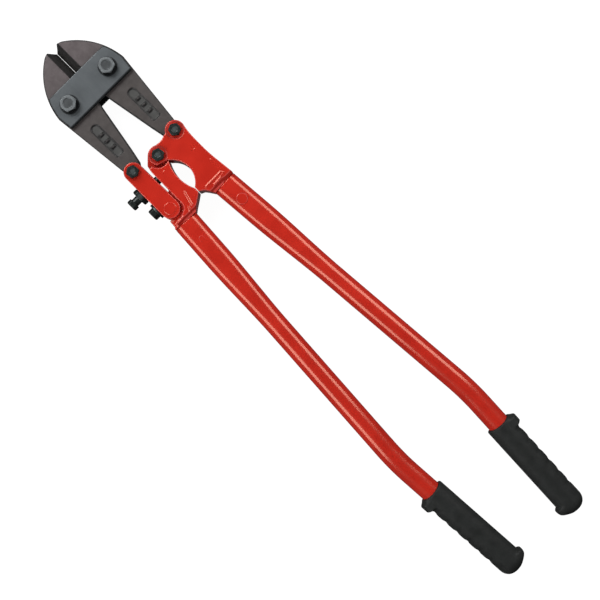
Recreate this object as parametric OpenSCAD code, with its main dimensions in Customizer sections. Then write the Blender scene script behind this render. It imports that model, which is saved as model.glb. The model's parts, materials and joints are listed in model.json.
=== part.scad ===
// Centre-cut bolt cutters with forged heads and steel tube handles, lying flat
// with the handles closed. The blades point along +X, the adjusting link is on
// the +Y side and +Z is up. The origin is the centre of the footprint, on the
// surface that the tool lies on.

/* [Jaws] */
// Half the distance between the two jaw pivots
jaw_pivot_y = 29; // [28.5:0.1:29.5]
// Thickness of a jaw, also the thickness of the tongue in the centre joint
jaw_t = 16; // [14:0.5:16]
// How far the jaw tips reach ahead of the jaw pivots
tip_x = 58.2; // [54:0.1:60]
// Half the gap between the closed cutting edges
edge_gap = 0.5; // [0.3:0.05:0.8]
// Width of the ground bevel beside each cutting edge
bevel_w = 8.4; // [6:0.2:10]
// Depth of the cast recess in the side of a jaw
recess_depth = 1; // [0.3:0.1:1.2]

/* [Bridge plates] */
// Length of a bridge plate along the tool
plate_l = 39.4; // [36:0.2:42]
// Thickness of one bridge plate
plate_t = 5; // [4:0.5:6]
// How far the plate stays inside the jaw outline
plate_inset = 1.3; // [0.8:0.1:2]

/* [Pivots] */
// Distance of the tail pivots behind the jaw pivots
tail_x = 100; // [99:0.5:101]
// Distance of the tail pivots from the tool's axis
tail_y = 32; // [31.5:0.1:32.5]
// Distance of the centre bolt behind the jaw pivots
centre_x = 106.5; // [106:0.1:107]
// Distance of the adjusting link's rear pivot behind the jaw pivots
link_x = 156; // [155:0.5:157]
// Distance of the adjusting link's rear pivot from the tool's axis
link_y = 31.6; // [31.4:0.1:31.8]
// Radius of the jaw bolt shanks
jaw_bolt_r = 7; // [6:0.5:7]
// Radius of the tail and centre bolt shanks
tail_bolt_r = 5; // [4:0.5:5]

/* [Heads] */
// Thickness of a forged head
head_t = 29; // [28:0.5:30]
// Thickness of the adjusting link
link_t = 26; // [25:0.5:27]
// Radius of the ears around the tail bolts
ear_r = 11; // [10.5:0.1:11]
// Radius of the tongue in the centre joint
tongue_r = 12.4; // [12:0.1:12.6]
// Depth of the spotfaces under the bolt heads
spot_depth = 1; // [0.5:0.1:1.5]

/* [Handles] */
// Where the tubes meet the heads, behind the jaw pivots
tube_x = 177.2; // [176:0.1:178]
// Distance of the tube's centre from the tool's axis at its front end
tube_y = 29.7; // [29:0.1:30]
// Outward lean of the right tube, in degrees
right_splay = 4.65; // [4.5:0.05:4.9]
// Outward lean of the left tube, in degrees
left_splay = 3.66; // [3.6:0.02:4]
// Radius of the round part of a tube
tube_r = 12.2; // [11.5:0.1:12.4]
// Wall thickness of a tube
tube_wall = 2; // [1.5:0.25:3]
// Width of the flattened front end of a tube
flat_w = 29.4; // [28:0.2:30]
// Thickness of the flattened front end of a tube
flat_t = 21; // [20:0.2:22]
// Inward bend before the grips, in degrees
bend_angle = 7.35; // [6:0.05:8]

/* [Grips] */
// Radius of a rubber grip
grip_r = 15.3; // [14.5:0.1:16]
// Length of a rubber grip
grip_l = 126.6; // [120:0.2:130]
// How far the finger guard stands proud of the grip
guard_h = 4.8; // [4:0.1:6]

/* [Hidden] */
$fn = 64;
eps = 0.01;
far = 400;

// Running clearances
face_gap = 0.05;      // between flat faces that slide on each other
bore_gap = 0.05;      // radial, between a shank and its bore
stop_gap = 0.55;      // between the two heads' closing stops
link_gap = 0.4;       // what the adjusting link can close up by

// Heights
half_jaw = jaw_t / 2;
slot_z = half_jaw + face_gap;
half_head = head_t / 2;
half_link = link_t / 2;
plate_z = slot_z;
plate_top_z = plate_z + plate_t;
spot_z = half_head - spot_depth;
nut_h = 6.2;
rest_z = spot_z + nut_h;

// Points in the tool's own frame, midway between the jaw pivots
jaw_pivot = [0, jaw_pivot_y];
tail_pivot = [-tail_x, tail_y];
centre = [-centre_x, 0];
link_pivot = [-link_x, link_y];
tube_start = [-tube_x, tube_y];

// Outline of a jaw: the nose is an arc, and the back edge is straight
nose_c = [-11.7, -31.4];
nose_r = 80.9;
nose_a0 = 33;
nose_a1 = 83.7;
back_end = [-88, 39.9];
blade_root_x = 15;
notch_x = 51.8;
roll_r = jaw_pivot_y - 0.15;
tail_r = 9.6;

// Handle tube, along its own axis from the head
flat_l = 48;
taper_end = 155;
bend_start = 328;
bend_r = 312;
tube_end_run = 147;
grip_start = 28.5;
grip_dome = 12;
dome_r = 11;
tang_l = 46;

// The adjusting link and its screws
link_top_y = 42.6;
adjust_x = -122.9;
clamp_x = -146.4;
screw_r = 4.75;
clamp_r = 4;
tip_y = 18.6;

// The origin's place in the tool's frame
origin_x = -320.7;
origin_y = -3.5;

function arc(c, r, a0, a1, n = 24) =
    [for (i = [0:n]) c + r * [cos(a0 + (a1 - a0) * i / n), sin(a0 + (a1 - a0) * i / n)]];
function flip(points) = [for (i = [len(points) - 1:-1:0]) [points[i][0], -points[i][1]]];
function turned(v, a) = [v[0] * cos(a) - v[1] * sin(a), v[0] * sin(a) + v[1] * cos(a)];

// Puts a shape of the tool's frame into the part's frame
module lay() {
    translate([-origin_x, -origin_y, rest_z]) children();
}

// Draws a shape made for the left side on the right
module right_side() {
    mirror([0, 1, 0]) children();
}

module at(p, z = 0) {
    translate([p[0], p[1], z]) children();
}

module slab(z0, z1) {
    translate([0, 0, z0]) linear_extrude(z1 - z0) children();
}

// A slab above the middle plane and its twin below
module both_faces(z0, z1) {
    slab(z0, z1) children();
    slab(-z1, -z0) children();
}

module drill(p, r) {
    at(p, -far / 2) cylinder(h = far, r = r);
}

// Hexagon with its corners chamfered on both faces
module hexagon(flats, h, chamfer = 0.8, both = false) {
    corner = flats / 2 / cos(30);
    rim = flats / 2 - 0.1;
    low = both ? rim : corner;
    low_h = both ? chamfer : 0;
    intersection() {
        cylinder(h = h, r = corner, $fn = 6);
        rotate_extrude()
            polygon([[0, 0], [low, 0], [corner + eps, low_h], [corner + eps, h - chamfer],
                [rim, h], [0, h]]);
    }
}

// A hexagon bolt down through the joint, with its head on top
module pivot_bolt(r, flats, head_z, head_h, end_z) {
    translate([0, 0, end_z]) cylinder(h = head_z - end_z + eps, r = r);
    difference() {
        translate([0, 0, head_z]) hexagon(flats, head_h, 1.5);
        translate([0, 0, head_z + head_h - 0.5]) cylinder(h = 2, r = flats / 2 - 3);
    }
}

module pivot_nut(r, flats, top_z, h) {
    difference() {
        translate([0, 0, top_z]) mirror([0, 0, 1]) hexagon(flats, h, 0.9);
        translate([0, 0, top_z - h - 1]) cylinder(h = h + 2, r = r);
    }
}

module rounded_slot(x0, x1, y0, y1, corner) {
    end_r = (y1 - y0) / 2;
    translate([x1 - end_r, (y0 + y1) / 2]) circle(r = end_r);
    translate([x0, y0 + corner]) square([x1 - end_r - x0, y1 - y0 - 2 * corner]);
    translate([x0 + corner, y0]) square([x1 - end_r - x0 - corner, y1 - y0]);
    for (y = [y0 + corner, y1 - corner]) translate([x0 + corner, y]) circle(r = corner);
}

// ---- Jaws ----

module jaw_outline() {
    roll_a = 32.6;
    root_a = asin(blade_root_x / roll_r);
    polygon(concat(
        [[notch_x, edge_gap], [tip_x, 7.25]],
        arc(nose_c, nose_r, nose_a0, nose_a1, 36),
        [back_end, [-95, 38.6], [-100, 30], [-100, 23], [-94.6, 19.4], [-77.6, 15.9]],
        arc(jaw_pivot, roll_r, 270 - roll_a, 270 + root_a, 20),
        [[blade_root_x, edge_gap]]
    ));
    at(tail_pivot) circle(r = tail_r);
}

module bevel_cut() {
    for (s = [0, 1]) mirror([0, 0, s])
        translate([blade_root_x, 0, 0]) rotate([90, 0, 90]) linear_extrude(tip_x)
            polygon([[edge_gap - 0.5, 0.35], [edge_gap, 0.35], [edge_gap + bevel_w, half_jaw],
                [edge_gap + bevel_w, half_jaw + 2], [edge_gap - 0.5, half_jaw + 2]]);
}

// The recess in steps, which stand for its sloping sides, round three raised bars
module jaw_recess() {
    steps = 3;
    draft = 0.4;
    bars = 3;
    for (i = [0:steps - 1]) both_faces(half_jaw - recess_depth * (i + 1) / steps, half_jaw + 1)
        difference() {
            rounded_slot(-76.6 + i * draft, -32.6 - i * draft,
                22.6 + i * draft, 33.6 - i * draft, 2.2 - i * draft / 2);
            for (k = [0:bars - 1]) translate([-65.6 + k * 9 - i * draft / 2, 25.8 - i * draft / 2])
                square([2.6 + i * draft, 4.6 + i * draft]);
        }
}

module jaw() {
    difference() {
        slab(-half_jaw, half_jaw) jaw_outline();
        bevel_cut();
        jaw_recess();
        drill(jaw_pivot, jaw_bolt_r + bore_gap);
        drill(tail_pivot, tail_bolt_r + bore_gap);
    }
}

module right_jaw() {
    color("dimgray") lay() right_side() jaw();
}

module left_jaw() {
    color("dimgray") lay() jaw();
}

// ---- Bridge ----

module plate_outline() {
    half = plate_l / 2;
    r = nose_r - plate_inset;
    a0 = acos((half - 1 - nose_c[0]) / r);
    corner = nose_c + r * [cos(a0), sin(a0)];
    back = nose_c + r * [cos(nose_a1), sin(nose_a1)];
    nose_end = nose_c + nose_r * [cos(nose_a1), sin(nose_a1)];
    fall = (nose_end[1] - back_end[1]) / (nose_end[0] - back_end[0]);
    rear_y = back[1] - (back[0] + half) * fall;
    edge = concat([[half, corner[1] - 1.6]], arc(nose_c, r, a0, nose_a1, 12),
        [[1.2 - half, rear_y], [-half, rear_y - 1.4]]);
    polygon(concat(edge, flip(edge)));
}

module bridge_plate() {
    difference() {
        slab(plate_z, plate_top_z) plate_outline();
        for (s = [-1, 1]) drill([0, s * jaw_pivot_y], jaw_bolt_r + eps);
    }
}

module bridge_plate_top() {
    color("slategray") lay() bridge_plate();
}

module bridge_plate_bottom() {
    color("slategray") lay() mirror([0, 0, 1]) bridge_plate();
}

jaw_hex = 16.8;
jaw_head_h = 9;

module jaw_bolt() {
    at(jaw_pivot) rotate(12) pivot_bolt(jaw_bolt_r, jaw_hex, plate_top_z, jaw_head_h, -rest_z);
}

module jaw_nut() {
    at(jaw_pivot) rotate(20) pivot_nut(jaw_bolt_r + eps, jaw_hex, -plate_top_z, rest_z - plate_top_z);
}

module right_jaw_bolt() {
    color("gray") lay() right_side() jaw_bolt();
}

module right_jaw_nut() {
    color("gray") lay() right_side() jaw_nut();
}

module left_jaw_bolt() {
    color("gray") lay() jaw_bolt();
}

module left_jaw_nut() {
    color("gray") lay() jaw_nut();
}

// ---- Handle heads ----

// The cut-outs for a jaw's tail, between the ears and round the pivot
module tail_slot() {
    open = 50;
    web_x = 0.7;
    r = tail_r + 0.6;
    side = turned([r, 0], 90 + open);
    at(tail_pivot) {
        circle(r = r);
        polygon([[0, 0], side, side + turned([30, 0], open),
            [40, 30], [40, -13], [web_x, -13], [web_x, 0]]);
    }
}

// The rear end of a head, square to its tube
module neck_outline(splay, stop_y, curve) {
    inner = tube_start + turned([0, -flat_w / 2], -splay);
    outer = tube_start + turned([0, flat_w / 2], -splay);
    polygon(concat([outer, inner], curve,
        [[-165.3, stop_y], [-157.3, stop_y], [-150, 30], [-150, outer[1] - 3]]));
}

// Heads thin down to the tubes in a slope behind the stops
module side_profile() {
    rear = flat_t / 2;
    half = [[-60, half_head], [-166.5, half_head], [-168.1, half_head - 1], [-170.6, half_head - 1],
        [-172.4, half_head - 2], [-173.8, half_head - 2], [-175.2, rear + 0.2], [-175.6, rear],
        [-tube_x - 5, rear]];
    rotate([90, 0, 0]) translate([0, 0, -far / 2]) linear_extrude(far)
        polygon(concat(half, flip(half)));
}

// The end of a head that the tube is pushed over
module tang(splay) {
    w = flat_w - 2 * tube_wall - 0.1;
    t = flat_t - 2 * tube_wall - 0.1;
    difference() {
        on_tube(splay) translate([0, 0, -0.2]) linear_extrude(tang_l) stadium(w, t);
        on_tube(splay) rivet_bore();
    }
}

// A step down beside a line on both faces of a head, which sinks towards the tube
module ledge(p, a, z, run) {
    fall = 2.5;
    for (s = [0, 1]) mirror([0, 0, s]) at(p) rotate(a) rotate([0, fall, 0])
        rotate([90, 0, 90]) linear_extrude(run)
        polygon([[0, z], [-1, z - 1], [-40, z - 1], [-40, half_head + 3], [0, half_head + 3]]);
}

// A small round mark on the upper face
module dimple(p) {
    at(p, half_head - 0.35) cylinder(h = 2, r1 = 1.4, r2 = 5);
}

right_stop_y = 3.4;
almond_right_c = [-138.3, -10.1];
almond_right_r = 24.5;

module right_head_outline() {
    polygon([centre, [-118.6, 4.4], [-157.3, right_stop_y + 0.4], [-157.3, right_stop_y],
        [-165.3, right_stop_y], [-165.6, 20], [-168, 43], [-162, 42.6], [-148, 41.2], [-138, 40.6],
        [-123, 40.6], [-113, 41], [-103, 42.3], [-98, 32],
        [-95, 20.2], [-96.9, 15.2], [-97.5, 10], [-96.6, 7]]);
    neck_outline(right_splay, right_stop_y, [[-171.4, 10.9], [-167.4, 7.9]]);
    at(centre) circle(r = ear_r);
    at(tail_pivot) circle(r = ear_r);
}

module right_head() {
    slot_r = 15.9;
    color("firebrick") lay() right_side() {
        difference() {
            intersection() {
                slab(-half_head, half_head) right_head_outline();
                side_profile();
            }
            slab(-slot_z, slot_z) {
                tail_slot();
                at(centre) circle(r = slot_r);
            }
            drill(almond_right_c, almond_right_r);
            dimple([-127.3, 32.6]);
            for (p = [tail_pivot, centre]) {
                drill(p, tail_bolt_r + eps);
                both_faces(spot_z, half_head + 1) at(p) circle(r = 9.4);
            }
        }
        tang(right_splay);
    }
}

left_stop_y = stop_gap - right_stop_y;
almond_left_c = [-139.8, -44.4];
almond_left_r = 46;
tongue_edge_y = 38.2;
// Where the right ear goes on the left head as the handles open
ear_drift = [[0, 0], [-0.13, 1.36], [-0.4, 2.17], [-0.69, 2.45],
    [-0.86, 2.23], [-0.38, 0.62], [0.44, -0.6], [1.71, -1.9]];

// Full thickness part of the left head, beside the adjusting link
module left_head_outline() {
    corner_c = [-160.2, 29.9];
    polygon(concat(
        [[-108, -3.85], [-110.5, 17.7], [-115.6, 18.3], [-130, 18.4]],
        arc(corner_c, 11, 270, 180, 8),
        [[-171.2, 35.5], [-172.4, 37.8], [-176, 38.6], [-177.3, 20], [-165, left_stop_y],
        [-157.3, left_stop_y], [-150, left_stop_y], [-121.8, -3.85]]
    ));
    neck_rear = tube_start + turned([0, flat_w / 2], -left_splay);
    neck_front = tube_start + turned([0, -flat_w / 2], -left_splay);
    polygon([neck_rear, neck_front, [-173.4, 8.9], [-169.4, 3], [-165.3, left_stop_y],
        [-165, 15], [-174, 38], [-174.5, 43.4]]);
}

// Thin part of the left head: the tongues that the right head and the link hold
module left_tongue_outline() {
    hole_edge = centre + turned([tongue_r, 0], 45);
    difference() {
        union() {
            at(centre) circle(r = tongue_r);
            polygon([centre, hole_edge, [-105.6, 16.8], [-110.5, 17.7], [-130, 18.4],
                [-140.7, 18.9], [-140.7, tongue_edge_y], [-157, tongue_edge_y], [-163, 41.6],
                [-176, 42.8], [-170, 15], [-130, 2], [-121.8, -3.85], [-114, -3.85]]);
        }
        at(link_pivot) difference() {
            translate([-far, 0]) square(far);
            circle(r = 9.8);
            translate([-far - 9, -far]) square([far, 2 * far]);
        }
    }
}

module left_head() {
    hole_r = 8.5;
    color("firebrick") lay() {
        difference() {
            union() {
                intersection() {
                    slab(-half_head, half_head) left_head_outline();
                    side_profile();
                }
                slab(-half_jaw, half_jaw) left_tongue_outline();
            }
            both_faces(half_jaw, half_head + 1) for (p = ear_drift) at(centre + p) circle(r = ear_r + 0.75);
            ledge([-154.6, 7.9], 165, half_head + 0.9, 30);
            ledge([-158.5, 12.7], 157, half_head + 0.3, 30);
            dimple([-121.4, 7.9]);
            drill(centre, hole_r);
            drill(almond_left_c, almond_left_r);
            drill(link_pivot, 4.5 + bore_gap);
            translate([clamp_x, 24, 0]) rotate([-90, 0, 0]) cylinder(h = 30, r = clamp_r + bore_gap);
        }
        tang(left_splay);
    }
}

// ---- Adjusting link ----

module link_outline() {
    tail_ear_r = link_top_y - tail_y;
    rear_ear_r = link_top_y - link_y;
    at(tail_pivot) circle(r = tail_ear_r);
    at(link_pivot) circle(r = rear_ear_r);
    polygon([[-tail_x, link_top_y], [-link_x, link_top_y],
        [-link_x, link_y - rear_ear_r], [-tail_x, tail_y - tail_ear_r]]);
}

module adjusting_link() {
    web_start = -113.6;
    web_step = -138.5;
    web_end = -157;
    color("firebrick") lay() difference() {
        slab(-half_link, half_link) link_outline();
        slab(-slot_z, slot_z) difference() {
            translate([-200, 10]) square([150, 40]);
            translate([web_step, 36.5]) square([web_start - web_step, 20]);
            translate([web_end, tongue_edge_y + link_gap]) square([web_step - web_end, 20]);
        }
        drill(tail_pivot, tail_bolt_r + eps);
        drill(link_pivot, 4.5 + eps);
        translate([adjust_x, 0, 0]) rotate([-90, 0, 0]) cylinder(h = 60, r = screw_r + bore_gap);
        translate([clamp_x, 0, 0]) rotate([-90, 0, 0]) cylinder(h = 60, r = clamp_r + 0.6);
    }
}

module link_pivot_pin() {
    pin_h = 0.5;
    color("firebrick") lay() at(link_pivot) {
        translate([0, 0, -half_link - 0.4]) cylinder(h = link_t + 0.8, r = 4.5);
        for (s = [0, 1]) mirror([0, 0, s]) translate([0, 0, half_link])
            cylinder(h = pin_h, r1 = 7.2, r2 = 6.2);
    }
}

module adjusting_screw() {
    color("black") lay() translate([adjust_x, tip_y, 0]) rotate([-90, 0, 0]) {
        cylinder(h = 36.4, r = screw_r);
        translate([0, 0, 36.4]) hexagon(11.4, 5.6, 0.9);
    }
}

module adjusting_lock_nut() {
    color("black") lay() translate([adjust_x, link_top_y + face_gap, 0]) rotate([-90, 0, 0])
        difference() {
            hexagon(17, 5.9, 0.9, true);
            translate([0, 0, -1]) cylinder(h = 9, r = screw_r + bore_gap);
        }
}

washer_y = link_top_y + link_gap;
washer_t = 2.3;

module clamp_washer() {
    color("black") lay() translate([clamp_x, washer_y, 0]) rotate([-90, 0, 0]) difference() {
        cylinder(h = washer_t, r = 9.5);
        translate([0, 0, -1]) cylinder(h = 5, r = clamp_r + 0.2);
    }
}

module clamp_screw() {
    head_y = washer_y + washer_t + face_gap;
    color("black") lay() translate([clamp_x, 0, 0]) rotate([-90, 0, 0]) {
        translate([0, 0, 25]) cylinder(h = head_y - 25 + eps, r = clamp_r);
        translate([0, 0, head_y]) hexagon(11.6, 6.2, 0.9);
    }
}

// ---- Tail and centre bolts ----

tail_hex = 12.8;
tail_head_h = 5.6;

module tail_bolt(seat_z) {
    rotate(8) pivot_bolt(tail_bolt_r, tail_hex, seat_z, tail_head_h, -rest_z);
}

module tail_nut(seat_z) {
    rotate(17) pivot_nut(tail_bolt_r + eps, tail_hex, -seat_z, rest_z - seat_z);
}

module right_tail_bolt() {
    color("black") lay() right_side() at(tail_pivot) tail_bolt(spot_z);
}

module right_tail_nut() {
    color("black") lay() right_side() at(tail_pivot) tail_nut(spot_z);
}

module centre_bolt() {
    color("black") lay() at(centre) tail_bolt(spot_z);
}

module centre_nut() {
    color("black") lay() at(centre) tail_nut(spot_z);
}

module left_tail_bolt() {
    color("black") lay() at(tail_pivot) tail_bolt(half_link);
}

module left_tail_nut() {
    color("black") lay() at(tail_pivot) tail_nut(half_link);
}

// ---- Handle tubes and grips ----

// Puts a shape drawn along +Z onto a tube's axis, with its +X outward
module on_tube(splay) {
    at(tube_start) rotate(-splay)
        multmatrix([[0, 0, -1, 0], [1, 0, 0, 0], [0, -1, 0, 0], [0, 0, 0, 1]]) children();
}

// Continues from the end of the bend, still drawn along +Z
module after_bend() {
    translate([-bend_r, 0, bend_start]) rotate([0, -bend_angle, 0]) translate([bend_r, 0, 0]) children();
}

module stadium(w, t) {
    square([w - t, t], center = true);
    for (s = [-1, 1]) translate([s * (w - t) / 2, 0]) circle(r = t / 2);
}

// The pieces of a tube differ by a hair in radius, so that they join cleanly
module tube_solid(r, w, t) {
    lip = 0.04;
    lap = 0.3;
    hull() {
        linear_extrude(flat_l) stadium(w, t, $fn = 32);
        translate([0, 0, taper_end - eps]) cylinder(h = eps, r = r - lip, $fn = 48);
    }
    translate([0, 0, taper_end]) cylinder(h = bend_start + lap - taper_end, r = r);
    translate([-bend_r, 0, bend_start]) rotate([90, 0, 0])
        rotate_extrude(angle = bend_angle, $fn = 96) translate([bend_r, 0]) circle(r = r - lip / 2);
    after_bend() translate([0, 0, -lap]) cylinder(h = tube_end_run + lap, r = r);
}

module rivet_bore() {
    translate([-0.9, 0, 26]) rotate([90, 0, 0]) cylinder(h = 60, r = 4 + eps, center = true);
}

module tube(splay) {
    on_tube(splay) difference() {
        tube_solid(tube_r, flat_w, flat_t);
        translate([0, 0, -eps])
            tube_solid(tube_r - tube_wall, flat_w - 2 * tube_wall, flat_t - 2 * tube_wall);
        after_bend() cylinder(h = tube_end_run + 1, r = tube_r - tube_wall);
        rivet_bore();
    }
}

module tube_rivet(splay, head_r, head_z, proud) {
    on_tube(splay) translate([-0.9, 0, 26]) rotate([90, 0, 0]) {
        cylinder(h = 2 * head_z, r = 4, center = true);
        for (s = [0, 1]) mirror([0, 0, s]) translate([0, 0, head_z])
            cylinder(h = proud, r1 = head_r, r2 = head_r - 0.6);
    }
}

// The finger side is +X, away from the other handle
module grip_shape() {
    waves = 6;
    wave_start = 18.9;
    wave_pitch = 15.7;
    wave_depth = 1;
    wave_r = 6;
    knob_h = 3.3;
    body_l = grip_l - grip_dome;
    difference() {
        union() {
            rotate_extrude() polygon(concat(
                [[0, 0], [grip_r - 1, 0], [grip_r, 1.2], [grip_r, body_l]],
                [for (a = [9:9:90])
                    [grip_r - dome_r + dome_r * cos(a), body_l + grip_dome * sin(a)]],
                [[0, grip_l]]));
            rotate([90, 0, 0]) linear_extrude(18, center = true)
                polygon([[8, 0.6], [grip_r, 0.6], [grip_r + guard_h, 4.4], [grip_r + guard_h, 12.2],
                    [grip_r, 15.8], [8, 16.8]]);
            rotate([90, 0, 0]) linear_extrude(16, center = true)
                polygon([[-8, 109.5], [-grip_r, 111], [-grip_r - knob_h, 113.8], [-grip_r - knob_h, 119],
                    [-grip_r - 1.3, 121.1], [-grip_r + 1.1, 123], [-8, 124.8]]);
        }
        for (i = [0:waves - 1])
            translate([grip_r - wave_depth + wave_r, 0, wave_start + i * wave_pitch]) rotate([90, 0, 0])
                cylinder(h = 60, r = wave_r, center = true);
    }
}

module grip(splay) {
    on_tube(splay) after_bend() translate([0, 0, grip_start]) difference() {
        grip_shape();
        translate([0, 0, -1]) cylinder(h = tube_end_run - grip_start + 1.2, r = tube_r + bore_gap);
    }
}

module right_tube() {
    color("firebrick") lay() right_side() tube(right_splay);
}

module left_tube() {
    color("firebrick") lay() tube(left_splay);
}

module right_tube_rivet() {
    color("firebrick") lay() right_side() tube_rivet(right_splay, 6.6, flat_t / 2 + 0.4, 0.6);
}

module left_tube_rivet() {
    color("firebrick") lay() tube_rivet(left_splay, 4, flat_t / 2, 0.3);
}

module right_grip() {
    color("black") lay() right_side() grip(right_splay);
}

module left_grip() {
    color("black") lay() grip(left_splay);
}

bridge_plate_top();
bridge_plate_bottom();
right_jaw_bolt();
right_jaw_nut();
left_jaw_bolt();
left_jaw_nut();
right_jaw();
left_jaw();
right_head();
right_tube();
right_tube_rivet();
right_grip();
right_tail_bolt();
right_tail_nut();
centre_bolt();
centre_nut();
left_head();
left_tube();
left_tube_rivet();
left_grip();
adjusting_link();
left_tail_bolt();
left_tail_nut();
link_pivot_pin();
adjusting_screw();
adjusting_lock_nut();
clamp_screw();
clamp_washer();
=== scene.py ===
import json
import math
import bmesh
import bpy
import numpy as np
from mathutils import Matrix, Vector


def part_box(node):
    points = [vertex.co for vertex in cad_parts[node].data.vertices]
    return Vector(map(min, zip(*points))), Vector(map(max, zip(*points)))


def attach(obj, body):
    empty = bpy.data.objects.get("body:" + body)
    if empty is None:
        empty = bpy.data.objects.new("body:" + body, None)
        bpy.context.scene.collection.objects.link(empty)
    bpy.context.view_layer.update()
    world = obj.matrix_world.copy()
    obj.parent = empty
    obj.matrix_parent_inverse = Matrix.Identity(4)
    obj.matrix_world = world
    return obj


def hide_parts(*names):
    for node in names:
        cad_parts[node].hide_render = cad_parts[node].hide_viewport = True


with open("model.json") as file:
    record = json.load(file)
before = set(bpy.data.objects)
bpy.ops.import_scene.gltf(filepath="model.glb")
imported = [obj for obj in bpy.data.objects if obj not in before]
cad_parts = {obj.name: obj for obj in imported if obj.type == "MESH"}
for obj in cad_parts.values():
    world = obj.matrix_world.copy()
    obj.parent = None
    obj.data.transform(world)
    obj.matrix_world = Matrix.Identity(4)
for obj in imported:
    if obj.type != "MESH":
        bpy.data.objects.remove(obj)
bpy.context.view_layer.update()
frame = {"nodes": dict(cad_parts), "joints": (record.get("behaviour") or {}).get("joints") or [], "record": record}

MM = 0.001
NODES = frame["nodes"]
PIVOT = {j["name"]: Vector(j["pos_m"]) for j in frame["joints"]}
BODY = {n: b for b, ns in frame["record"]["behaviour"]["bodies"].items() for n in ns}
SLOT = {s["node"]: s["material_slot"] for s in frame["record"]["subparts"]}

# The tool's own frame: midway between the jaw pivots, +X to the blades, +Y to the left handle.
# All places and sizes below are in millimetres in it.
TOOL = (PIVOT["right_jaw_pivot"] + PIVOT["left_jaw_pivot"]) / 2
JAW_PIVOT_Y = (PIVOT["left_jaw_pivot"].y - PIVOT["right_jaw_pivot"].y) / 2 / MM

# Camera, straight above the middle of the tool
CAMERA_PLACE = (-325, 2.3, 1200)
CAMERA_TURN = 225
LENS = 66.0

# How far from its walls the painted shade and painted highlight along a forging's edges reach
EDGE_REACH = 1.6
# A surface counts as a wall where its normal's vertical part is below this
STEEP = 0.84
# Values of the edge mask between which jaws and plates take painted shade
EDGE_BAND = (0.10, 0.42)

# Where each finish and each painted shade starts and ends, as distances along the tool, off its axis or off its
# middle plane
BLADE_START, BLADE_END = 15, 60
GROUND_WIDTH, BEVEL_CLEAR = 8.7, 10.8
JAW_SIDE = 7.62
POCKET_ALONG, POCKET_ASIDE, POCKET_FLOOR = (-76.6, -32.6), (22.6, 33.6), (5, 7.4)
PLATE_SIDE = (8.0, 12.75)
PLATE_REAR = (-22, -18.0)
PLATE_END = 33
# Radius of the painted shadow round each jaw bolt on the plates
BOLT_SHADOW_R = 10.8
# Off the middle plane, where the painted light on a jaw bolt's top starts
BOLT_TOP = (20.4, 21.2)

# Half thickness of the heads where they meet the tubes, by place along the tool:
# the CAD's steps and the slope that they are eased to
NECK_STEPS = ((-175.6, 10.5), (-175.2, 10.7), (-173.8, 12.5), (-172.4, 12.5),
              (-170.6, 13.5), (-168.1, 13.5), (-166.5, 14.5))
NECK_SLOPE = ((-176.2, 10.6), (-172.8, 13.7), (-166.0, 14.5))
# The rear part of the heads, and how close to its face a vertex is put on the slope
NECK_START, NECK_SKIN = -150, 1.8
# The CAD's two ledges on the left head, smoothed away under the ribs: start and direction
LEDGES = (((-154.6, 7.9), 165), ((-158.5, 12.7), 157))
LEDGE_REACH = 1.6
# Half height of the neck behind the round end of the link, by place across the tool
CORNER_START = -166
NECK_CORNER = ((36.6, 14.5), (39.2, 10.8), (40.5, 10.4), (45.0, 10.4))
# Low ribs forged on the heads' faces: from, to and height
HEAD_FACE = 9
RIB_HALF_WIDTH = 1.8
RIBS = (
    ((-167.0, -35.0), (-167.1, -12.5), 0.60),
    ((-169.0, -36.5), (-171.2, -31.0), 0.65),
    ((-171.2, -31.0), (-171.8, -20.5), 0.65),
    ((-150.0, -37.0), (-163.0, -38.0), 0.35),
    ((-155.0, 7.9), (-169.8, 11.9), 0.80),
    ((-169.3, 16.2), (-174.6, 18.6), 0.75),
    ((-172.6, 27.7), (-173.8, 36.5), 0.60),
)

# How far the remeshing moves each cutting edge back, and how wide a strip it is eased over
BLUNTED, BLUNTED_REACH = 0.4, 3

# Voxel size and smoothing passes of the worked pieces
JAW_WORK = (0.36, 2)
PLATE_WORK = (0.45, 3)
FORGED_WORK = (0.35, 30)
PIN_WORK = (0.25, 8)
BOLT_WORK = (0.25, 3)

# Handles, as in the CAD
TUBE_X, TUBE_Y = -177.2, 29.7
SPLAY = {"right": 4.65, "left": 3.66}
FLAT_W, FLAT_T, FLAT_L = 29.4, 21.0, 48.0
TUBE_R, TUBE_WALL, TAPER_END = 12.2, 2.0, 155.0
BEND_START, BEND_R, BEND_ANGLE = 328.0, 312.0, 7.35
TUBE_AFTER_BEND = 147.0
BEND_END = BEND_START + BEND_R * math.radians(BEND_ANGLE)
TUBE_END = BEND_END + TUBE_AFTER_BEND
GRIP_START, GRIP_L, GRIP_R, GUARD_H, KNOB_H = 28.5, 126.6, 15.3, 4.8, 3.3
# Finger guard and end knob, as a start, a rise, an end and a fall along the grip
GUARD, KNOB = (0.4, 4.2, 12.0, 4.0), (110.9, 3.0, 119.2, 6.5)
GRIP_DOME, DOME_R = 12.0, 11
RIM_ROUND, RIM_SWEEP = 1.6, 1.4
WAVES, WAVE_PITCH, WAVE_START, WAVE_DEPTH = 6, 15.7, 18.9, 0.9
# Points round a tube and a grip, rings along a tube, and millimetres between a grip's rings
TUBE_POINTS, GRIP_POINTS, TUBE_RINGS, GRIP_STEP = 72, 96, 171, 0.6


# ---- Camera ----

def make_camera():
    data = bpy.data.cameras.new("camera")
    data.sensor_width = 36
    data.lens = LENS
    cam = bpy.data.objects.new("camera", data)
    bpy.context.scene.collection.objects.link(cam)
    cam.location = TOOL + Vector(CAMERA_PLACE) * MM
    cam.rotation_euler = (0, 0, math.radians(CAMERA_TURN))
    bpy.context.scene.camera = cam


# ---- Materials ----

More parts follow.
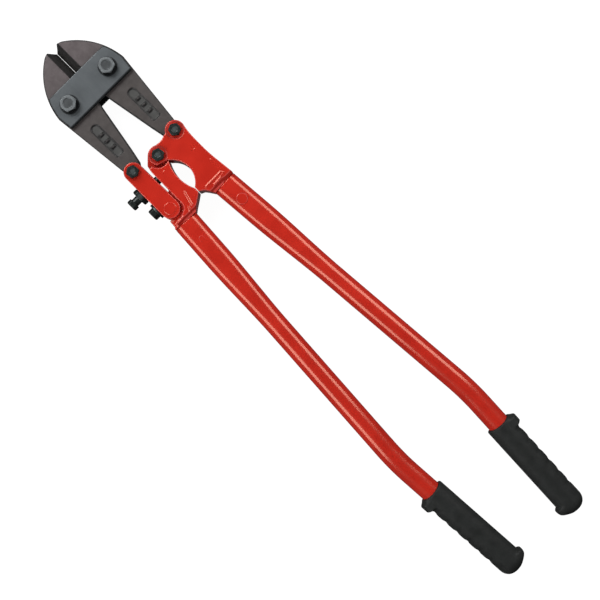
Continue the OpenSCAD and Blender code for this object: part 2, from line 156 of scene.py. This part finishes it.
class Nodes:
    """Small helper to build one material's node tree."""

    def __init__(self, name):
        self.material = bpy.data.materials.new(name)
        self.material.use_nodes = True
        self.tree = self.material.node_tree
        self.shader = self.tree.nodes["Principled BSDF"]
        self.coords = self.tree.nodes.new("ShaderNodeTexCoord").outputs["Object"]

    def add(self, kind, inputs=None, **settings):
        node = self.tree.nodes.new("ShaderNode" + kind)
        for key, value in settings.items():
            setattr(node, key, value)
        for key, value in (inputs or {}).items():
            if isinstance(value, bpy.types.NodeSocket):
                self.tree.links.new(value, node.inputs[key])
            else:
                node.inputs[key].default_value = value
        return node

    def link(self, output, socket):
        self.tree.links.new(output, self.shader.inputs[socket])

    def noise(self, scale, detail=3.0, rough=0.5, stretch=None):
        coords = self.coords
        if stretch:
            coords = self.add("Mapping", {"Vector": coords, "Scale": stretch}).outputs["Vector"]
        inputs = {"Vector": coords, "Scale": scale, "Detail": detail, "Roughness": rough}
        return self.add("TexNoise", inputs).outputs["Fac"]

    def between(self, fac, low, high, start=0.3, end=0.7):
        """Maps a factor between start and end to values from low to high."""
        inputs = {"Value": fac, "From Min": start, "From Max": end, "To Min": low, "To Max": high}
        return self.add("MapRange", inputs).outputs["Result"]

    def math(self, operation, a, b=0.0):
        return self.add("Math", {0: a, 1: b}, operation=operation).outputs["Value"]

    def inside(self, value, low, high, soft=0.2):
        """1 where a value in millimetres is between low and high."""
        rise = self.between(value, 0, 1, low - soft / 2, low + soft / 2)
        fall = self.between(value, 1, 0, high - soft / 2, high + soft / 2)
        return self.math("MULTIPLY", rise, fall)

    def place(self):
        """Place in the tool's frame: along it, off its axis, and off its middle plane."""
        parts = self.add("SeparateXYZ", {"Vector": self.coords}).outputs
        x, y, z = (self.math("DIVIDE", self.math("SUBTRACT", parts[i], TOOL[i]), MM)
                   for i in range(3))
        return x, self.math("ABSOLUTE", y), self.math("ABSOLUTE", z)

    def any_of(self, *masks):
        """1 where any of the masks is."""
        found = masks[0]
        for mask in masks[1:]:
            found = self.math("MAXIMUM", found, mask)
        return found

    def mix(self, fac, a, b):
        return self.add("MixRGB", {"Fac": fac, "Color1": a, "Color2": b}).outputs["Color"]

    def radial(self):
        """Distance from a bolt's axis, in millimetres."""
        return self.add("Attribute", attribute_name="radial").outputs["Fac"]

    def edge(self, low, high):
        """1 on the walls of a worked piece and close beside them, 0 out on its faces."""
        walls = self.add("Attribute", attribute_name="edge").outputs["Fac"]
        return self.between(walls, 0, 1, low, high)

    def colours(self, fac, *stops):
        ramp = self.add("ValToRGB", {"Fac": fac})
        while len(ramp.color_ramp.elements) < len(stops):
            ramp.color_ramp.elements.new(0.5)
        for element, (place, colour) in zip(ramp.color_ramp.elements, stops):
            element.position = place
            element.color = (*colour, 1)
        return ramp.outputs["Color"]

    def bumps(self, *layers):
        """Bump from (height, strength, distance in mm) layers."""
        normal = None
        for height, strength, distance in layers:
            inputs = {"Height": height, "Strength": strength, "Distance": distance * MM}
            if normal:
                inputs["Normal"] = normal
            normal = self.add("Bump", inputs).outputs["Normal"]
        self.link(normal, "Normal")


def red_enamel():
    """Gloss enamel, paler along its rounded edges, a painted highlight broken up by noise, and darker on its
    walls, painted shade.
    """
    n = Nodes("red_enamel")
    body = n.colours(n.noise(45, 4), (0.35, (0.49, 0.0200, 0.0112)), (0.65, (0.56, 0.0248, 0.0138)))
    # Painted highlight: paler colour along the rounded edges, broken up by noise
    edge_highlight = n.math("MULTIPLY", n.edge(0.14, 0.40), n.between(n.noise(90, 3), 0.55, 1.0))
    body = n.mix(edge_highlight, body, (0.66, 0.085, 0.075, 1))
    # Painted shade: darker colour on the walls
    body = n.mix(n.edge(0.55, 0.85), body, (0.40, 0.016, 0.010, 1))
    n.link(body, "Base Color")
    n.link(n.between(n.noise(40, 2), 0.15, 0.19), "Roughness")
    n.bumps((n.noise(110, 2), 0.035, 0.10), (n.noise(700, 1), 0.015, 0.03))
    n.shader.inputs["Specular IOR Level"].default_value = 0.85
    n.shader.inputs["Specular Tint"].default_value = (1.0, 0.60, 0.45, 1)
    return n.material


def jaw_steel():
    """Blackened forging; beside the cutting edges it is ground in long strokes and coloured near black, a painted
    dark reflection. Its side walls and a band along its edges carry painted shade.
    """
    n = Nodes("jaw_steel")
    along, aside, off = n.place()
    ground = n.math("MULTIPLY", n.inside(along, BLADE_START, 99),
                    n.inside(aside, -1, GROUND_WIDTH, 0.4))
    beside = n.math("MULTIPLY", n.inside(along, BLADE_START - 2, 99),
                    n.inside(aside, -1, BEVEL_CLEAR))
    side = n.inside(off, -1, JAW_SIDE, 0.3)
    pocket = n.math("MULTIPLY", n.inside(along, *POCKET_ALONG), n.inside(aside, *POCKET_ASIDE))
    floor = n.math("MULTIPLY", pocket, n.inside(off, *POCKET_FLOOR, 0.4))
    nose = n.between(along, 0, 1, -30, 35)
    mottle = n.noise(120, 5, 0.6)
    dark = n.colours(mottle, (0.3, (0.063, 0.055, 0.053)), (0.7, (0.087, 0.077, 0.074)))
    warm = n.colours(mottle, (0.3, (0.084, 0.069, 0.071)), (0.7, (0.113, 0.096, 0.098)))
    strokes = n.noise(220, 4, 0.6, (0.6, 12, 12))
    # Painted dark reflection: near-black colour for the ground bevels
    black = n.colours(strokes, (0.3, (0.008, 0.0075, 0.0075)), (0.7, (0.022, 0.020, 0.019)))
    shade = n.colours(mottle, (0.3, (0.014, 0.014, 0.014)), (0.7, (0.022, 0.021, 0.021)))
    cast = n.colours(mottle, (0.3, (0.060, 0.060, 0.058)), (0.7, (0.084, 0.084, 0.081)))
    # Painted shade on the side walls outside the pocket
    walls = n.math("MULTIPLY", side, n.math("SUBTRACT", 1.0, pocket))
    skin = n.mix(floor, n.mix(nose, dark, warm), cast)
    # Painted shade along the edges, kept off the strip beside the cutting edges
    rim = n.math("SUBTRACT", n.edge(*EDGE_BAND), beside)
    skin = n.mix(n.any_of(rim, walls), skin, shade)
    n.link(n.mix(ground, skin, black), "Base Color")
    n.shader.inputs["Metallic"].default_value = 0.55
    n.link(n.between(n.noise(400, 3), 0.38, 0.54), "Roughness")
    n.bumps((n.noise(260, 3), 0.25, 0.10), (n.noise(1800, 2), 0.15, 0.03))
    return n.material


def plate_steel():
    """Flat bar with painted shade on its side walls, its ends and along its rear edge, and a painted shadow round
    each bolt.
    """
    n = Nodes("plate_steel")
    along, aside, off = n.place()
    # Painted shade on the side walls, the rear edge and the ends, and a painted shadow round each bolt
    side = n.inside(off, *PLATE_SIDE, 0.3)
    rear = n.inside(along, *PLATE_REAR, 0.8)
    across = n.math("SUBTRACT", aside, JAW_PIVOT_Y)
    reach = n.math("ADD", n.math("MULTIPLY", along, along), n.math("MULTIPLY", across, across))
    bolt_shadow = n.inside(reach, -1, BOLT_SHADOW_R ** 2, 12)
    ends = n.math("MULTIPLY", n.edge(*EDGE_BAND), n.inside(aside, PLATE_END, 60, 4))
    film = n.noise(60, 4, 0.6, (1, 2.5, 1))
    face = n.colours(film, (0.3, (0.086, 0.096, 0.103)), (0.7, (0.100, 0.111, 0.118)))
    dark = n.any_of(side, rear, ends, bolt_shadow)
    n.link(n.mix(dark, face, (0.018, 0.021, 0.023, 1)), "Base Color")
    n.shader.inputs["Metallic"].default_value = 0.55
    n.link(n.between(n.noise(300, 3), 0.40, 0.5), "Roughness")
    n.bumps((n.noise(1500, 2), 0.12, 0.03),)
    return n.material


def jaw_fastener():
    """Blackened bolts with painted light: a lit copy of the colour on the upper edges of the hexagon, a shaded
    copy on the rest.
    """
    n = Nodes("jaw_fastener")
    # Painted light: the top of each bolt takes the lit colour, its walls the shaded one
    top = n.between(n.place()[2], 0, 1, *BOLT_TOP)
    lit_top = n.math("MULTIPLY", top, n.between(n.radial(), 0.35, 1, 4.6, 6.4))
    scuff = n.noise(200, 4)
    shaded_copy = n.colours(scuff, (0.3, (0.006, 0.007, 0.0075)), (0.7, (0.012, 0.0135, 0.014)))
    lit_copy = n.colours(scuff, (0.3, (0.125, 0.136, 0.142)), (0.7, (0.175, 0.190, 0.198)))
    n.link(n.mix(lit_top, shaded_copy, lit_copy), "Base Color")
    n.shader.inputs["Metallic"].default_value = 0.5
    n.link(n.between(n.noise(500, 3), 0.32, 0.44), "Roughness")
    n.bumps((n.noise(1200, 2), 0.15, 0.03),)
    return n.material


def black_oxide():
    """Oiled black bolts; a painted highlight lightens the hollow in each head."""
    n = Nodes("black_oxide")
    # Painted highlight: lighter colour in the hollow of each head
    hollow = n.between(n.radial(), 1, 0, 1.6, 4.0)
    film = n.noise(220, 4)
    outer = n.colours(film, (0.3, (0.010, 0.015, 0.014)), (0.7, (0.024, 0.032, 0.030)))
    glint = n.colours(film, (0.3, (0.045, 0.058, 0.058)), (0.7, (0.085, 0.105, 0.104)))
    n.link(n.mix(hollow, outer, glint), "Base Color")
    n.shader.inputs["Metallic"].default_value = 0.4
    n.link(n.between(n.noise(500, 3), 0.26, 0.40), "Roughness")
    n.bumps((n.noise(1400, 2), 0.12, 0.03),)
    return n.material


def grip_rubber():
    """Matt black rubber, lightly dusty."""
    n = Nodes("grip_rubber")
    dust = n.noise(90, 4)
    body = n.colours(dust, (0.3, (0.0145, 0.0157, 0.0150)), (0.7, (0.0225, 0.0243, 0.0234)))
    n.link(body, "Base Color")
    n.link(n.between(n.noise(260, 4), 0.50, 0.66), "Roughness")
    n.shader.inputs["Specular IOR Level"].default_value = 0.22
    n.bumps((n.noise(2200, 2), 0.30, 0.05),)
    return n.material


MATERIALS = {
    "red_enamel": red_enamel(),
    "jaw_steel": jaw_steel(),
    "plate_steel": plate_steel(),
    "jaw_fastener": jaw_fastener(),
    "black_oxide": black_oxide(),
    "grip_rubber": grip_rubber(),
}


# ---- Pieces ----

def place(piece, node):
    """Makes a new piece stand for a CAD node: same body, same finish."""
    piece.data.materials.clear()
    piece.data.materials.append(MATERIALS[SLOT[node]])
    for polygon in piece.data.polygons:
        polygon.use_smooth = True
    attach(piece, BODY[node])
    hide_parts(node)


def apply(piece):
    """Puts the piece's modifiers into its mesh."""
    graph = bpy.context.evaluated_depsgraph_get()
    mesh = bpy.data.meshes.new_from_object(piece.evaluated_get(graph))
    piece.modifiers.clear()
    piece.data = mesh


def tool_places(mesh):
    """The vertices of a mesh, in the tool's frame."""
    flat = np.empty(3 * len(mesh.vertices))
    mesh.vertices.foreach_get("co", flat)
    return flat.reshape(-1, 3) / MM - np.array(TOOL) / MM


def normals_z(mesh):
    """How far each vertex faces up, from -1 to 1."""
    normals = np.empty(3 * len(mesh.vertices))
    mesh.vertices.foreach_get("normal", normals)
    return normals[2::3]


def set_places(mesh, places):
    mesh.vertices.foreach_set("co", (places * MM + np.array(TOOL)).ravel())
    mesh.update()


def by_ledge(places):
    """Which places are on the CAD's ledges, whose walls also go on the slope."""
    near = np.zeros(len(places), dtype=bool)
    for start, angle in LEDGES:
        run = np.array((math.cos(math.radians(angle)), math.sin(math.radians(angle))))
        offset = places[:, :2] - start
        across = offset @ np.array((-run[1], run[0]))
        near |= (offset @ run > -1) & (abs(across) < LEDGE_REACH)
    return near


def ease_neck(mesh):
    """Turns the steps of a head's neck into one slope, which the ribs then cross."""
    places = tool_places(mesh)
    steps, slope = (np.interp(places[:, 0], *zip(*table)) for table in (NECK_STEPS, NECK_SLOPE))
    places[:, 2] *= slope / steps
    height, upright = abs(places[:, 2]), abs(normals_z(mesh))
    face = (places[:, 0] < NECK_START) & (height > slope - NECK_SKIN)
    face &= (upright > 0.6) | by_ledge(places)
    places[face, 2] = np.sign(places[face, 2]) * slope[face]
    corner = np.interp(places[:, 1], *zip(*NECK_CORNER))
    corner[places[:, 0] >= CORNER_START] = math.inf
    places[:, 2] = np.clip(places[:, 2], -corner, corner)
    set_places(mesh, places)


def close_edges(mesh):
    """Brings the cutting edges back to where the CAD has them: the remeshing blunts them."""
    places = tool_places(mesh)
    aside = abs(places[:, 1])
    blade = (places[:, 0] > BLADE_START) & (places[:, 0] < BLADE_END) & (aside < BLUNTED_REACH)
    shift = BLUNTED * (1 - aside[blade] / BLUNTED_REACH)
    places[blade, 1] -= np.sign(places[blade, 1]) * shift
    set_places(mesh, places)


def raise_ribs(mesh):
    """Lifts the heads' faces along the ribs, into rounded ridges."""
    places = tool_places(mesh)
    flat = places[:, :2]
    lift = np.zeros(len(flat))
    for start, end, height in RIBS:
        start, run = np.array(start), np.array(end) - np.array(start)
        along = np.clip((flat - start) @ run / (run @ run), 0, 1)
        away = np.linalg.norm(flat - start - along[:, None] * run, axis=1) / RIB_HALF_WIDTH
        lift = np.maximum(lift, height * np.clip(1 - away ** 2, 0, 1) ** 2)
    faces = abs(places[:, 2]) > HEAD_FACE
    places[:, 2] += np.sign(places[:, 2]) * lift * faces
    set_places(mesh, places)


def near_walls(mesh, reach):
    """1 at the upright walls of a mesh, fading to 0 about this many edges away from them."""
    count = len(mesh.vertices)
    ends = np.empty(2 * len(mesh.edges), dtype=np.int64)
    mesh.edges.foreach_get("vertices", ends)
    a, b = ends[0::2], ends[1::2]
    value = (abs(normals_z(mesh)) < STEEP).astype(float)
    neighbours = np.bincount(a, minlength=count) + np.bincount(b, minlength=count)
    for _ in range(round(reach ** 2)):
        around = np.bincount(a, value[b], count) + np.bincount(b, value[a], count)
        value = (value + around) / (1 + neighbours)
    return value


def worked(node, voxel, passes):
    """A CAD node's shape with its edges eased, as forging, machining and paint leave them."""
    bm = bmesh.new()
    bm.from_mesh(NODES[node].data)
    bmesh.ops.remove_doubles(bm, verts=bm.verts, dist=0.002 * MM)
    mesh = bpy.data.meshes.new(node + "_body")
    bm.to_mesh(mesh)
    bm.free()
    piece = bpy.data.objects.new(node + "_body", mesh)
    bpy.context.scene.collection.objects.link(piece)
    remesh = piece.modifiers.new("remesh", "REMESH")
    remesh.mode = "VOXEL"
    remesh.voxel_size = voxel * MM
    apply(piece)
    if node.endswith("_head"):
        ease_neck(piece.data)
    smooth = piece.modifiers.new("smooth", "SMOOTH")
    smooth.factor = 0.5
    smooth.iterations = passes
    apply(piece)
    if node.endswith("_head"):
        raise_ribs(piece.data)
    if node.endswith("_jaw"):
        close_edges(piece.data)
    low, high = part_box(node)
    axis = (low + high) / 2
    upright = high.z - low.z > high.y - low.y
    mesh = piece.data
    radial = mesh.attributes.new("radial", "FLOAT", "POINT")
    for value, vertex in zip(radial.data, mesh.vertices):
        value.value = (vertex.co - axis).xy.length / MM if upright else 99
    edge = mesh.attributes.new("edge", "FLOAT", "POINT")
    edge.data.foreach_set("value", near_walls(mesh, EDGE_REACH / voxel))
    place(piece, node)
    return piece


def loft(name, rings, closed_ends=True):
    """A closed skin over rings of points that all have the same count."""
    bm = bmesh.new()
    rows = [[bm.verts.new(p) for p in ring] for ring in rings]
    count = len(rows[0])
    for a, b in zip(rows, rows[1:]):
        for i in range(count):
            j = (i + 1) % count
            bm.faces.new((a[i], a[j], b[j], b[i]))
    if closed_ends:
        bm.faces.new(rows[0][::-1])
        bm.faces.new(rows[-1])
    else:
        for i in range(count):
            j = (i + 1) % count
            bm.faces.new((rows[-1][i], rows[-1][j], rows[0][j], rows[0][i]))
    bmesh.ops.recalc_face_normals(bm, faces=bm.faces)
    mesh = bpy.data.meshes.new(name)
    bm.to_mesh(mesh)
    bm.free()
    piece = bpy.data.objects.new(name, mesh)
    bpy.context.scene.collection.objects.link(piece)
    return piece


class Handle:
    """The bent axis of one tube, measured from its front end."""

    def __init__(self, side):
        self.sign = -1 if side == "right" else 1
        self.splay = math.radians(SPLAY[side])

    def point(self, s, out, up):
        """The place s along the axis, out from it away from the other handle, and up."""
        bend = min(max((s - BEND_START) / BEND_R, 0), math.radians(BEND_ANGLE))
        run = min(s, BEND_START)
        along = run + BEND_R * math.sin(bend)
        across = -BEND_R * (1 - math.cos(bend))
        after = max(s - BEND_END, 0)
        along += after * math.cos(bend) + out * math.sin(bend)
        across += -after * math.sin(bend) + out * math.cos(bend)
        x = TUBE_X - along * math.cos(self.splay) + across * math.sin(self.splay)
        y = TUBE_Y + along * math.sin(self.splay) + across * math.cos(self.splay)
        return TOOL + Vector((x, self.sign * y, up)) * MM


def smooth_step(t):
    t = min(max(t, 0), 1)
    return t * t * (3 - 2 * t)


def tube_ring(handle, s, inset):
    """A ring round the tube at s, inset from its outer skin."""
    narrowed = smooth_step((s - FLAT_L) / (TAPER_END - FLAT_L))
    thickened = min(s / TAPER_END, 1)
    w = FLAT_W + (2 * TUBE_R - FLAT_W) * narrowed - 2 * inset
    h = FLAT_T + (2 * TUBE_R - FLAT_T) * thickened - 2 * inset
    flat = (w - h) / 2
    ring = []
    for i in range(TUBE_POINTS):
        a = 2 * math.pi * (i + 0.5) / TUBE_POINTS
        side = 1 if math.cos(a) > 0 else -1
        ring.append(handle.point(s, side * flat + h / 2 * math.cos(a), h / 2 * math.sin(a)))
    return ring


def tube(side):
    """A hollow tube whose front end is rounded over."""
    handle = Handle(side)
    rings = [tube_ring(handle, s, inset) for s, inset in ((0.05, 0.8), (0.25, 0.3), (0.6, 0.06))]
    stations = [0.9 + i * (TUBE_END - 0.9) / (TUBE_RINGS - 1) for i in range(TUBE_RINGS)]
    rings += [tube_ring(handle, s, 0) for s in stations]
    rings += [tube_ring(handle, s, TUBE_WALL) for s in reversed(stations)]
    rings += [tube_ring(handle, 0.05, TUBE_WALL)]
    piece = loft(side + "_tube_skin", rings, closed_ends=False)
    place(piece, side + "_tube")


def bump(x, start, rise, end, fall):
    """0 to 1 between start and start + rise, back to 0 between end and end + fall."""
    return smooth_step((x - start) / rise) * (1 - smooth_step((x - end) / fall))


def grip_radius(g, angle):
    """Radius of a grip at g along it, angle 0 being the finger side."""
    turn = abs((angle + math.pi) % (2 * math.pi) - math.pi)
    finger = 1 - smooth_step((turn - 0.45) / 0.75)
    palm = 1 - smooth_step((math.pi - turn - 0.4) / 0.7)
    r = GRIP_R
    r += GUARD_H * bump(g, *GUARD) * (1 - smooth_step((turn - 0.5) / 0.6))
    phase = (g - WAVE_START) / WAVE_PITCH
    if -0.5 < phase < WAVES - 0.5:
        dip = 0.5 + 0.5 * math.cos(2 * math.pi * phase)
        r -= WAVE_DEPTH * dip ** 3 * finger
    r += KNOB_H * bump(g, *KNOB) * palm
    t = max(g - (GRIP_L - GRIP_DOME), 0) / GRIP_DOME
    r -= DOME_R * (1 - math.sqrt(max(1 - t * t, 0)))
    if g < RIM_ROUND:
        r -= RIM_ROUND - math.sqrt(max(RIM_ROUND ** 2 - (RIM_ROUND - g) ** 2, 0))
    return r


def grip(side):
    """A grip from the bottom of its bore, out round the rim and back to its domed end."""
    handle = Handle(side)
    start = BEND_END + GRIP_START

    def ring(g, radius):
        """The front rim stands further back above and below than at its sides."""
        points = []
        for i in range(GRIP_POINTS):
            a = 2 * math.pi * i / GRIP_POINTS
            back = RIM_SWEEP * math.sin(a) ** 2 * (1 - smooth_step(g / 40))
            r = radius(a)
            points.append(handle.point(start + g + back, r * math.cos(a), r * math.sin(a)))
        return points

    bore = TUBE_AFTER_BEND - GRIP_START + 0.2
    rings = [ring(bore * i / 10, lambda a: TUBE_R + 0.05) for i in range(10, -1, -1)]
    rings += [ring(0, lambda a: TUBE_R + 0.5)]
    body = GRIP_L - GRIP_DOME
    tip = GRIP_L - 0.002
    stations = [0.0, 0.1, 0.3, 0.6, 1.0, 1.6]
    stations += [2 + i * GRIP_STEP for i in range(int((body - 2) / GRIP_STEP) + 1)]
    stations += [body + GRIP_DOME * math.sin(math.radians(a)) for a in range(2, 90, 4)]
    for g in stations + [tip]:
        rings.append(ring(g, lambda a: grip_radius(g, a)))
    for share in (0.7, 0.4, 0.1):
        rings.append(ring(GRIP_L, lambda a: share * grip_radius(tip, a)))
    piece = loft(side + "_grip_skin", rings)
    place(piece, side + "_grip")


def make_pieces():
    for node in ("right_jaw", "left_jaw"):
        worked(node, *JAW_WORK)
    for node in ("bridge_plate_top", "bridge_plate_bottom"):
        worked(node, *PLATE_WORK)
    for node in ("right_head", "left_head", "adjusting_link"):
        worked(node, *FORGED_WORK)
    for node in ("link_pivot_pin", "right_tube_rivet", "left_tube_rivet"):
        worked(node, *PIN_WORK)
    for node in NODES:
        if SLOT[node] in ("jaw_fastener", "black_oxide"):
            worked(node, *BOLT_WORK)
    for side in ("right", "left"):
        tube(side)
        grip(side)
    for node in NODES:
        NODES[node].data.materials.clear()
        NODES[node].data.materials.append(MATERIALS[SLOT[node]])


# ---- Stage ----

def area_light(name, place_mm, aim_mm, size_mm, power):
    """A rectangular soft box that faces a place on the tool."""
    data = bpy.data.lights.new(name, "AREA")
    data.shape = "RECTANGLE"
    data.size, data.size_y = size_mm[0] * MM, size_mm[1] * MM
    data.energy = power
    light = bpy.data.objects.new(name, data)
    bpy.context.scene.collection.objects.link(light)
    light.location = TOOL + Vector(place_mm) * MM
    aim = TOOL + Vector(aim_mm) * MM - light.location
    light.rotation_euler = aim.to_track_quat("-Z", "Y").to_euler()


def make_world():
    """A dim studio: a soft glow round the table, dark overhead and low down."""
    world = bpy.data.worlds.new("world")
    bpy.context.scene.world = world
    world.use_nodes = True
    tree = world.node_tree
    coords = tree.nodes.new("ShaderNodeTexCoord").outputs["Generated"]
    split = tree.nodes.new("ShaderNodeSeparateXYZ")
    tree.links.new(coords, split.inputs["Vector"])
    ramp = tree.nodes.new("ShaderNodeValToRGB")
    tree.links.new(split.outputs["Z"], ramp.inputs["Fac"])
    stops = ((0.0, 0.07), (0.22, 0.07), (0.40, 0.20), (0.80, 0.24), (0.90, 0.06), (1.0, 0.04))
    while len(ramp.color_ramp.elements) < len(stops):
        ramp.color_ramp.elements.new(0.5)
    for element, (height, light) in zip(ramp.color_ramp.elements, stops):
        element.position = height
        element.color = (light, light, light, 1)
    tree.links.new(ramp.outputs["Color"], tree.nodes["Background"].inputs["Color"])


def make_stage():
    bpy.ops.mesh.primitive_plane_add(size=8, location=(0, 0, 0))
    floor = bpy.context.object
    floor.name = "floor"
    n = Nodes("floor_white")
    paper = n.colours(n.noise(3, 2), (0.3, (0.12, 0.12, 0.12)), (0.7, (0.13, 0.13, 0.13)))
    n.link(paper, "Base Color")
    n.shader.inputs["Roughness"].default_value = 0.9
    n.shader.inputs["Specular IOR Level"].default_value = 0.0
    n.shader.inputs["Emission Color"].default_value = (1, 1, 1, 1)
    n.shader.inputs["Emission Strength"].default_value = 0.97
    floor.data.materials.append(n.material)
    floor.visible_diffuse = False
    floor.visible_glossy = False
    area_light("strip_right", (-180, -1000, 600), (-180, 0, 0), (950, 560), 8.5)
    area_light("strip_left", (-180, 1000, 600), (-180, 0, 0), (950, 560), 8.5)
    area_light("box_ahead", (1500, 0, 1700), (-200, 0, 0), (1000, 1350), 31.0)
    make_world()
    bpy.context.scene.view_settings.view_transform = "Standard"


make_camera()
make_pieces()
make_stage()
